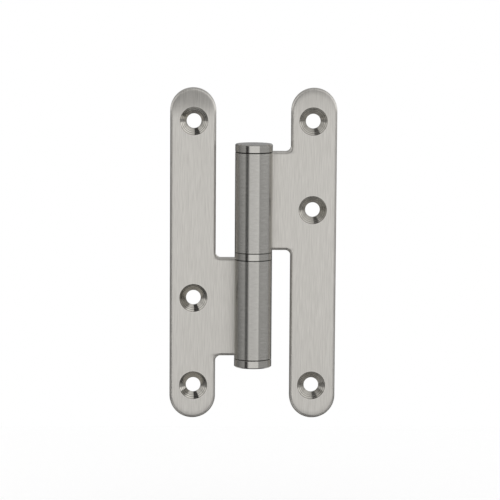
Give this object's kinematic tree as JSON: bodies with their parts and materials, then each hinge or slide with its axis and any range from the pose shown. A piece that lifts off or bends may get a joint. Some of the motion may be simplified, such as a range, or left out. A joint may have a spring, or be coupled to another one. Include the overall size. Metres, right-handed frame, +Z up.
{
  "type": "paumelle hinge",
  "caption": "Lift-off door hinge with round-ended flat leaves, rolled knuckles on a pin, a spacer ring between them and countersunk screw holes.",
  "frame": {"origin": "on the pin's axis, half-way up the spacer ring, which is the centre of the open hinge", "axes": "+Z up along the pin and the long sides of the leaves, +Y out of the back faces that lie on the frame and the door, +X from the frame leaf towards the door leaf"},
  "size_m": [0.07, 0.0158, 0.14],
  "materials": {
    "brushed_stainless_leaf": "satin, brushed along the leaves",
    "turned_stainless": "satin, turned",
    "turned_steel_pin": "fine turned"
  },
  "bodies": {
    "frame_side": {"frame_leaf": "brushed_stainless_leaf", "hinge_pin": "turned_steel_pin", "lower_cap": "turned_stainless"},
    "ring": {"spacer_ring": "turned_stainless"},
    "door_side": {"door_leaf": "brushed_stainless_leaf", "upper_cap": "turned_stainless"}
  },
  "joints": [
    {"name": "door_swing", "type": "hinge", "parent": "frame_side", "child": "ring", "pos_m": [0, 0, 0], "axis": [0, 0, 1], "range_deg": [-180, 120]},
    {"name": "lift_off", "type": "slide", "parent": "ring", "child": "door_side", "axis": [0, 0, 1], "range_m": [0, 0.038]}
  ]
}
